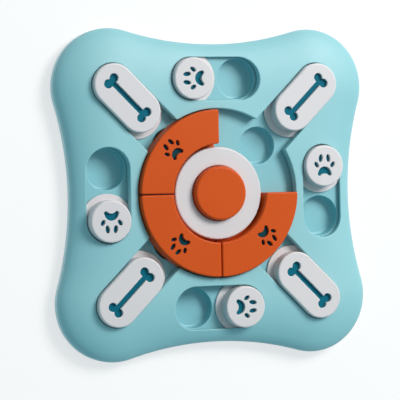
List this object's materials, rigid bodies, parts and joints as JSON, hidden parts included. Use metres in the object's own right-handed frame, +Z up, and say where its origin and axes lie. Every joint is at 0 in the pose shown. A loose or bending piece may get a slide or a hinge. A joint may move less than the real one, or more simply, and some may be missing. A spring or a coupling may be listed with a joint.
{
  "type": "dog puzzle feeder toy",
  "caption": "Square treat-hunting puzzle plate with wavy sides: bone and paw lids slide and ring segments turn over hidden food cups round a squeaker button.",
  "frame": {"origin": "middle of the foot plane, under the squeaker button", "axes": "+Z up, normal to the plate; +X to the right and +Y away from the dog, with the open ring quadrant at +X +Y"},
  "size_m": [0.25, 0.25, 0.0279],
  "materials": {
    "plate_blue": "satin moulded plastic",
    "tray_blue": "satin moulded plastic",
    "base_blue": "satin moulded plastic",
    "liner_teal": "matt moulded plastic",
    "slider_white": "satin moulded plastic",
    "hub_white": "satin moulded plastic",
    "ring_orange": "satin moulded plastic",
    "button_orange": "satin moulded plastic",
    "bellows_rubber": "matt soft rubber",
    "reed_white": "matt moulded plastic",
    "foot_rubber": "matt soft rubber",
    "screw_steel": "plain zinc-plated steel"
  },
  "bodies": {
    "shell": {"top_cover": "plate_blue", "food_tray": "tray_blue", "bottom_cover": "base_blue", "hub_ring": "hub_white", "squeaker_bellows": "bellows_rubber", "squeaker_reed": "reed_white", "cover_screws": "screw_steel", "hub_screws": "screw_steel", "foot_pad_front_left": "foot_rubber", "foot_pad_front_right": "foot_rubber", "foot_pad_rear_right": "foot_rubber", "foot_pad_rear_left": "foot_rubber", "bellows_cup": "tray_blue", "edge_cup_top": "tray_blue", "edge_cup_right": "tray_blue", "edge_cup_bottom": "tray_blue", "edge_cup_left": "tray_blue", "ring_cup_upper_right": "tray_blue", "ring_cup_lower_right": "tray_blue", "ring_cup_lower_left": "tray_blue", "ring_cup_upper_left": "tray_blue", "corner_cup_upper_right": "tray_blue", "corner_cup_lower_right": "tray_blue", "corner_cup_lower_left": "tray_blue", "corner_cup_upper_left": "tray_blue"},
    "ring_segment_lower_left": {"ring_segment_lower_left": "ring_orange", "ring_liner_lower_left": "liner_teal"},
    "ring_segment_upper_left": {"ring_segment_upper_left": "ring_orange", "ring_liner_upper_left": "liner_teal"},
    "ring_segment_lower_right": {"ring_segment_lower_right": "ring_orange", "ring_liner_lower_right": "liner_teal"},
    "bone_slider_upper_right": {"bone_slider_upper_right": "slider_white", "bone_liner_upper_right": "liner_teal"},
    "bone_slider_lower_right": {"bone_slider_lower_right": "slider_white", "bone_liner_lower_right": "liner_teal"},
    "bone_slider_lower_left": {"bone_slider_lower_left": "slider_white", "bone_liner_lower_left": "liner_teal"},
    "bone_slider_upper_left": {"bone_slider_upper_left": "slider_white", "bone_liner_upper_left": "liner_teal"},
    "paw_slider_top": {"paw_slider_top": "slider_white", "paw_liner_top": "liner_teal"},
    "paw_slider_right": {"paw_slider_right": "slider_white", "paw_liner_right": "liner_teal"},
    "paw_slider_bottom": {"paw_slider_bottom": "slider_white", "paw_liner_bottom": "liner_teal"},
    "paw_slider_left": {"paw_slider_left": "slider_white", "paw_liner_left": "liner_teal"},
    "squeaker_button": {"squeaker_button": "button_orange"}
  },
  "joints": [
    {"name": "ring_spin_lower_left", "type": "hinge", "parent": "shell", "child": "ring_segment_lower_left", "pos_m": [0, 0, 0.0136], "axis": [0, 0, 1], "continuous": true},
    {"name": "ring_spin_upper_left", "type": "hinge", "parent": "shell", "child": "ring_segment_upper_left", "pos_m": [0, 0, 0.0136], "axis": [0, 0, 1], "continuous": true},
    {"name": "ring_step_lower_right", "type": "hinge", "parent": "ring_segment_lower_left", "child": "ring_segment_lower_right", "pos_m": [0, 0, 0.0136], "axis": [0, 0, -1], "range_deg": [-90, 0]},
    {"name": "bone_slide_upper_right", "type": "slide", "parent": "shell", "child": "bone_slider_upper_right", "axis": [0.7071, 0.7071, 0], "range_m": [-0.032, 0]},
    {"name": "bone_slide_lower_right", "type": "slide", "parent": "shell", "child": "bone_slider_lower_right", "axis": [0.7071, -0.7071, 0], "range_m": [-0.0036, 0]},
    {"name": "bone_slide_lower_left", "type": "slide", "parent": "shell", "child": "bone_slider_lower_left", "axis": [-0.7071, -0.7071, 0], "range_m": [-0.0036, 0]},
    {"name": "bone_slide_upper_left", "type": "slide", "parent": "shell", "child": "bone_slider_upper_left", "axis": [-0.7071, 0.7071, 0], "range_m": [-0.0036, 0]},
    {"name": "paw_slide_top", "type": "slide", "parent": "shell", "child": "paw_slider_top", "axis": [1, 0, 0], "range_m": [0, 0.0382]},
    {"name": "paw_slide_right", "type": "slide", "parent": "shell", "child": "paw_slider_right", "axis": [0, -1, 0], "range_m": [0, 0.0382]},
    {"name": "paw_slide_bottom", "type": "slide", "parent": "shell", "child": "paw_slider_bottom", "axis": [-1, 0, 0], "range_m": [0, 0.0382]},
    {"name": "paw_slide_left", "type": "slide", "parent": "shell", "child": "paw_slider_left", "axis": [0, 1, 0], "range_m": [0, 0.0382]},
    {"name": "button_press", "type": "slide", "parent": "shell", "child": "squeaker_button", "axis": [0, 0, -1], "range_m": [0, 0.0035], "stiffness_N_per_m": 800, "deforming": ["squeaker_bellows"]}
  ],
  "couplings": [
    {"joint": "ring_spin_upper_left", "follows": "ring_spin_lower_left", "ratio": 1}
  ]
}
